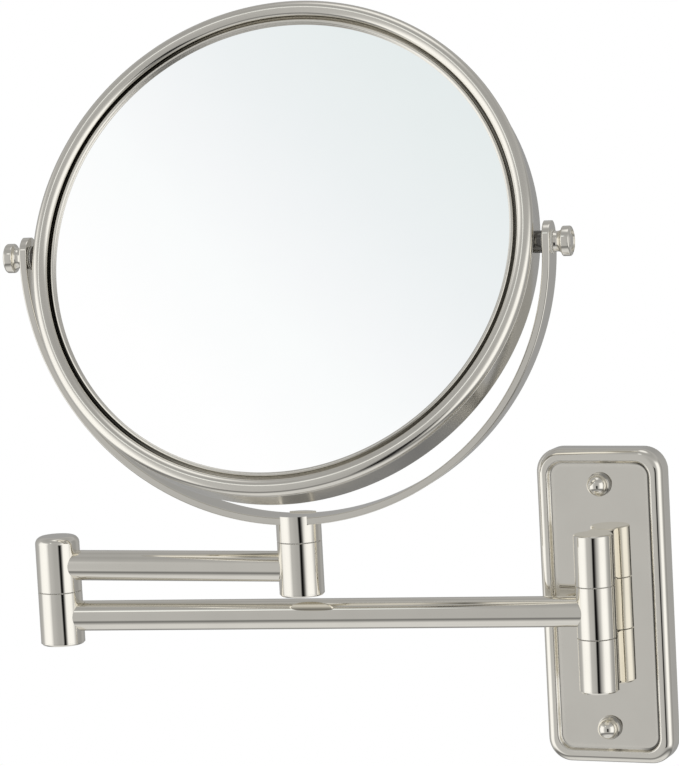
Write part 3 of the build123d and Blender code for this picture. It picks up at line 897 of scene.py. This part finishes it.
# %% Its hole for the pivots
DRILL_SIDES = 48
around_hole = [2 * math.pi * step / DRILL_SIDES for step in range(DRILL_SIDES)]
drill_ring = [(n, (n + 1) % DRILL_SIDES) for n in range(DRILL_SIDES)]
drill_sides = [(n, after, after + DRILL_SIDES, n + DRILL_SIDES) for n, after in drill_ring]
drill_caps = [tuple(reversed(range(DRILL_SIDES))), tuple(range(DRILL_SIDES, 2 * DRILL_SIDES))]


def drill_rod(start, end, up, side, radius):
    """The points of a rod between two places, whose faces are drill_sides and drill_caps."""
    rim = [(up * math.cos(turn) + side * math.sin(turn)) * radius for turn in around_hole]
    return [place + out for place in (start, end) for out in rim]


hole_radius = gauge("yoke_bushes", knob_right)[1]
reach = tilt_axis * 2 * strip_out
rod = drill_rod(tilt_at - reach, tilt_at + reach, UP, across_yoke, hole_radius)
drill = shaped_object("drill", rod, drill_sides + drill_caps)
cut = strip_work.modifiers.new("hole", "BOOLEAN")
cut.object = drill
weighting = strip_work.modifiers.new("weighting", "WEIGHTED_NORMAL")
weighting.keep_sharp = True
strip_skin = plain_mesh(strip_work)
for work in (section_work, drill):
    bpy.data.objects.remove(work)
link_piece("yoke_strip_skin", strip_skin, "yoke_strip", finishes["nickel"])
print("strip", len(strip_skin.polygons), "faces")

# %% [markdown]
# ## Knobs and domed nuts
# The knobs are turned from bar: a neck, a flare and a disc whose face carries a shallow ring. The
# domed nuts are one turned outline repeated along the plate.

# %% Knobs
knob_in, knob_out, knob_start, knob_end = [value / MM for value in gauge("right_knob", knob_right)]
KNOB_NECK, KNOB_EDGE = 4.1, 0.9
bore_end = knob_start + 3.0
knob_outline = (
    [(knob_in, knob_start), (KNOB_NECK, knob_start)]
    + arc((KNOB_NECK, knob_start + 0.3), 0.3, -90, 0)  # the foot of the neck
    + arc((6.6, knob_start + 1.5), 2.4, 200, 120)  # the flare
    + arc((knob_out - 0.7, knob_start + 4.2), 0.7, -60, 0)  # the disc's back edge
    + arc((knob_out - KNOB_EDGE, knob_end - KNOB_EDGE), KNOB_EDGE, 0, 90)  # its front edge
    + arc((knob_out - 1.7, knob_end - 0.1), 0.45, 80, -100)[1:]  # the shallow ring in its face
    + arc((2.4, knob_end - 1.3), 1.3, 60, 90)  # the low dome in the middle
    + [(0.0, knob_end), (0.0, bore_end), (knob_in, bore_end)]
)
for side, place in (("right_knob", knob_right), ("left_knob", knob_left)):
    turned(side, knob_outline, place, finishes["nickel"], around=96)

# %% Domed nuts
nut_low, nut_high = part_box("cap_nuts")
nut_radius = (nut_high.x - nut_low.x) / 2 / MM
nut_back, nut_front = -nut_high.y / MM, -nut_low.y / MM
nut_step = (nut_high.z - nut_low.z) / MM - 2 * nut_radius
NUT_SKIRT, NUT_STEP, NUT_EDGE = 1.2, 0.75, 0.2  # skirt height, step to the dome, rounding of the edge
dome = nut_radius - NUT_STEP
nut_outline = (
    [(0.0, nut_back), (nut_radius, nut_back)]
    + arc((nut_radius - NUT_EDGE, nut_back + NUT_SKIRT), NUT_EDGE, 0, 60)
    + [(dome, nut_back + NUT_SKIRT + 0.3)]
    + arc((0.0, nut_front - dome), dome, 0, 90)
)
nut_place = placing(Vector((0, 0, -nut_step / 2 * MM)), Vector((0, -1, 0)), UP)


def skirt_shade_share(shader, place):
    """Painted shade round the foot of a nut, most of all on the right; its strengths are chosen."""
    at = shader.parts(place)
    near = 1 - shader.smoothstep(at.out("Y") * -1.0, (nut_back + 0.6) * MM, (nut_back + 2.8) * MM)
    return near * (shader.smoothstep(at, -1.0 * MM, 3.0 * MM) * 0.5 + 0.3)


# The nuts carry painted shade round their feet.
finishes["nut"] = paint_shade(metal("nut_nickel", NICKEL, *MIRROR_BRIGHT), skirt_shade_share)
nut_spacing = (nut_step * MM, 0, 0)
turned("cap_nuts", nut_outline, nut_place, finishes["nut"], around=64, count=2, spacing=nut_spacing)

# %% [markdown]
# ## The wall plate
# A pressed plate has a rolled border that falls into the flat face through a small hollow. It is
# a stack of rounded rectangles, each a little further in, joined one to the next, and then drilled
# for the wall studs and the hinge screws.

# %% Outlines of the plate
CORNER_STEPS = 14
PLATE_CORNER, PLATE_SKIN, OUTER_ROUND, RIM_WIDTH = 10.0, 2.4, 3.4, 5.5
WELL_CORNER_MORE = 1.6  # the flat face's corners are rounder than an even border would leave them
STRAIGHT_FOOT = 1.0
plate_low, plate_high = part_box("wall_plate")
plate_half_wide, plate_half_high = plate_high.x / MM, plate_high.z / MM
crest, flat = -plate_low.y / MM, nut_back
inner_round = (crest - flat) / 2


def rounded_rectangle(inset, depth):
    """Points round the plate, inset from its edge, at a distance in front of the wall."""
    rounding = PLATE_CORNER - inset + (WELL_CORNER_MORE if inset > OUTER_ROUND + 0.1 else 0)
    points = []
    for quarter, (x, z) in enumerate(((1, 1), (-1, 1), (-1, -1), (1, -1))):
        for step in range(CORNER_STEPS + 1):
            angle = math.radians(90 * (quarter + step / CORNER_STEPS))
            points.append((
                (x * (plate_half_wide - inset - rounding) + rounding * math.cos(angle)) * MM,
                -depth * MM,
                (z * (plate_half_high - inset - rounding) + rounding * math.sin(angle)) * MM,
            ))
    return points


outside = arc((0, crest - OUTER_ROUND), OUTER_ROUND, 0, 90)
falling = arc((0, crest - inner_round), inner_round, 90, 0)
hollow = arc((0, flat + inner_round), inner_round, 180, 270)[1:]
profile = [(PLATE_SKIN, flat - PLATE_SKIN), (PLATE_SKIN, 0), (0, 0), (0, STRAIGHT_FOOT)]
profile += [(OUTER_ROUND - out, height) for out, height in outside]
profile += [(RIM_WIDTH - inner_round + out, height) for out, height in falling]
profile += [(RIM_WIDTH + inner_round + out, height) for out, height in hollow]
print("the plate's outline has", len(profile), "steps, from its inside round to its flat face")

# %% The plate before drilling
loops = [rounded_rectangle(inset, depth) for inset, depth in profile]
per_loop = len(loops[0])
plate_faces = [tuple(range(per_loop))]
for row in range(len(loops) - 1):
    below, above = row * per_loop, (row + 1) * per_loop
    for n in range(per_loop):
        after = (n + 1) % per_loop
        plate_faces.append((below + n, below + after, above + after, above + n))
plate_faces.append(tuple(range(above, above + per_loop)))
plate_plain = shaped_object("plate_plain", [point for loop in loops for point in loop], plate_faces)

# %% Its drill: four rods
DRILL_FROM, DRILL_TO = Vector((0, 5, 0)) * MM, Vector((0, -15, 0)) * MM
screw_low, screw_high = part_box("hinge_screws")
screw_height = (screw_high.z - (screw_high.x - screw_low.x) / 2) / MM
drill_points, drill_faces = [], []
for height in (nut_step / 2, -nut_step / 2, screw_height, -screw_height):
    at = Vector((0, 0, height)) * MM
    hole = gauge("wall_plate", placing(at, Vector((0, -1, 0)), UP))[0]
    first = len(drill_points)
    drill_points += drill_rod(at + DRILL_FROM, at + DRILL_TO, Vector((1, 0, 0)), UP, hole)
    drill_faces += [tuple(first + n for n in face) for face in drill_sides + drill_caps]
    print("hole at", round(height, 1), "mm, radius", round(hole / MM, 2), "mm")
plate_drill = shaped_object("plate_drill", drill_points, drill_faces)
for work in (plate_plain, plate_drill):
    face_outwards(work.data)

# %% The plate's finish, with painted shade where the border meets the flat face
SHADE_FROM, SHADE_TO = 12 * MM, 19 * MM  # to the right of the middle, where the line darkens
LINE_HALF, LINE_FADED = 0.3 * MM, 0.8 * MM
BUFFED_HALF, BUFFED_FADED = 1.0 * MM, 2.6 * MM


def corner_shade_share(shader, place):
    """Painted shade where the border meets the flat face, most of all on the right, and less bright round
    it.
    """
    at = shader.parts(place)
    right = shader.smoothstep(at, SHADE_FROM, SHADE_TO)
    middle = RIM_WIDTH + inner_round * 0.6
    rounding = PLATE_CORNER - middle + WELL_CORNER_MORE
    far_x = at.math("ABSOLUTE", at) - (plate_half_wide - middle - rounding) * MM
    far_z = at.math("ABSOLUTE", at.out("Z")) - (plate_half_high - middle - rounding) * MM
    out_x, out_z = at.math("MAXIMUM", far_x, 0.0), at.math("MAXIMUM", far_z, 0.0)
    beyond = at.math("SQRT", out_x * out_x + out_z * out_z)
    within = at.math("MINIMUM", at.math("MAXIMUM", far_x, far_z), 0.0)
    off = at.math("ABSOLUTE", beyond + within - rounding * MM)
    buffed = (1 - shader.smoothstep(off, BUFFED_HALF, BUFFED_FADED)) * 0.22
    rewired(shader, "Roughness", lambda old: buffed + old)
    return (1 - shader.smoothstep(off, LINE_HALF, LINE_FADED)) * (right * 0.85 + 0.06)


finishes["plate"] = paint_shade(metal("plate_nickel", NICKEL, *MIRROR_BRIGHT), corner_shade_share)

# %% The drilled plate
plate_skin = softened("wall_plate", plate_plain.data, plate_drill)
for work in (plate_plain, plate_drill):
    bpy.data.objects.remove(work)
link_piece("wall_plate_skin", plate_skin, "wall_plate", finishes["plate"])
print("plate", len(plate_skin.polygons), "faces")

# %% Copies of the other pieces
made_nodes = (
    "front_ring", "mirror_band", "right_knob", "left_knob", "cap_nuts", "yoke_strip", "wall_plate",
)
for node, part in frame["nodes"].items():
    if part.type != "MESH" or node in made_nodes:
        continue
    finish = finishes["boss" if node == "pivot_bosses" else slot_of_node[node]]
    link_piece(node + "_skin", softened(node, part.data), node, finish)
    part.data.materials.clear()
    part.data.materials.append(finish)
